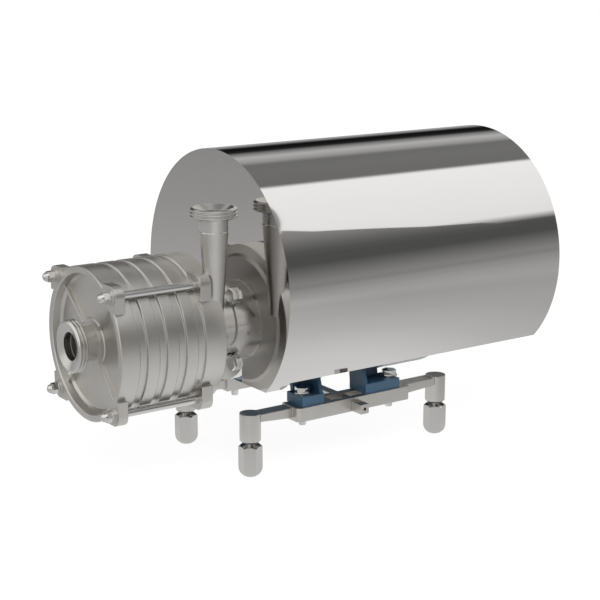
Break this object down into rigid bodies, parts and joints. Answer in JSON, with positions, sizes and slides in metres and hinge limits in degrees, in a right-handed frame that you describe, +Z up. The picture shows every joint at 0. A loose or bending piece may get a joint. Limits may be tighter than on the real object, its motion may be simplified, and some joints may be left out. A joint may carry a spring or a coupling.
{
  "type": "sanitary centrifugal pump",
  "caption": "Multistage sanitary centrifugal pump: tie-rod casing with inlet and outlet unions, close-coupled to a shrouded motor on a leg frame with screw feet.",
  "frame": {"origin": "on the floor, under the middle of the pump's whole length", "axes": "+X along the shaft from the inlet to the motor fan, +Z up; the outlet union stands on the -Y side"},
  "size_m": [0.6476, 0.3314, 0.4042],
  "materials": {
    "casing_steel": "bead-blasted satin",
    "union_steel": "fine turned",
    "polished_steel": "polished",
    "adapter_steel": "fine turned",
    "screw_steel": "bright",
    "shroud_steel": "mirror polished",
    "stay_steel": "mill finish",
    "frame_steel": "bead-blasted satin",
    "foot_steel": "turned and polished",
    "impeller_steel": "fine polished",
    "shaft_steel": "ground",
    "bearing_steel": "ground",
    "seal_rubber": "matt",
    "seal_housing_steel": "turned",
    "seal_carbon": "lapped",
    "seal_ceramic": "lapped",
    "motor_paint": "satin paint",
    "lamination_steel": "stacked sheet",
    "copper_winding": "varnished",
    "fan_plastic": "moulded",
    "cowl_paint": "satin paint",
    "box_paint": "satin paint",
    "gland_plastic": "moulded"
  },
  "bodies": {
    "pump_body": {"inlet_casing": "casing_steel", "stage_casing_1": "casing_steel", "stage_casing_2": "casing_steel", "stage_casing_3": "casing_steel", "outlet_casing": "casing_steel", "inlet_union": "union_steel", "outlet_union": "union_steel", "outlet_tube": "union_steel", "tie_rods": "polished_steel", "tie_rod_cap_nuts": "polished_steel", "tie_rod_washers": "polished_steel", "adapter": "adapter_steel", "adapter_screws": "screw_steel", "adapter_washers": "screw_steel", "foot_bolts": "screw_steel", "foot_washers": "screw_steel", "shroud_wrap": "shroud_steel", "shroud_front_plate": "shroud_steel", "shroud_stay": "stay_steel", "near_rail": "frame_steel", "far_rail": "frame_steel", "cross_bar": "frame_steel", "front_near_post": "frame_steel", "front_far_post": "frame_steel", "rear_near_post": "frame_steel", "rear_far_post": "frame_steel", "front_bearing": "bearing_steel", "rear_bearing": "bearing_steel", "casing_seal_rings": "seal_rubber", "seal_housing": "seal_housing_steel", "seal_seat_ring": "seal_ceramic", "motor_frame": "motor_paint", "motor_front_shield": "motor_paint", "motor_rear_shield": "motor_paint", "stator_core": "lamination_steel", "stator_windings": "copper_winding", "fan_cowl": "cowl_paint", "terminal_box": "box_paint", "terminal_box_lid": "box_paint", "cable_gland": "gland_plastic"},
    "rotor": {"motor_shaft": "shaft_steel", "rotor_core": "lamination_steel", "fan": "fan_plastic", "pump_shaft": "shaft_steel", "impeller_1": "impeller_steel", "impeller_2": "impeller_steel", "impeller_3": "impeller_steel", "impeller_4": "impeller_steel", "impeller_nut": "impeller_steel", "clamp_ring": "shaft_steel", "seal_rotating_ring": "seal_carbon"},
    "front_near_leg_foot": {"front_near_foot": "foot_steel"},
    "front_far_leg_foot": {"front_far_foot": "foot_steel"},
    "rear_near_leg_foot": {"rear_near_foot": "foot_steel"},
    "rear_far_leg_foot": {"rear_far_foot": "foot_steel"}
  },
  "joints": [
    {"name": "rotor_spin", "type": "hinge", "parent": "pump_body", "child": "rotor", "pos_m": [0, 0, 0.1828], "axis": [1, 0, 0], "continuous": true},
    {"name": "front_near_foot_screw", "type": "slide", "parent": "pump_body", "child": "front_near_leg_foot", "axis": [0, 0, -1], "range_m": [0, 0.02]},
    {"name": "front_far_foot_screw", "type": "slide", "parent": "pump_body", "child": "front_far_leg_foot", "axis": [0, 0, -1], "range_m": [0, 0.02]},
    {"name": "rear_near_foot_screw", "type": "slide", "parent": "pump_body", "child": "rear_near_leg_foot", "axis": [0, 0, -1], "range_m": [0, 0.02]},
    {"name": "rear_far_foot_screw", "type": "slide", "parent": "pump_body", "child": "rear_far_leg_foot", "axis": [0, 0, -1], "range_m": [0, 0.02]}
  ]
}
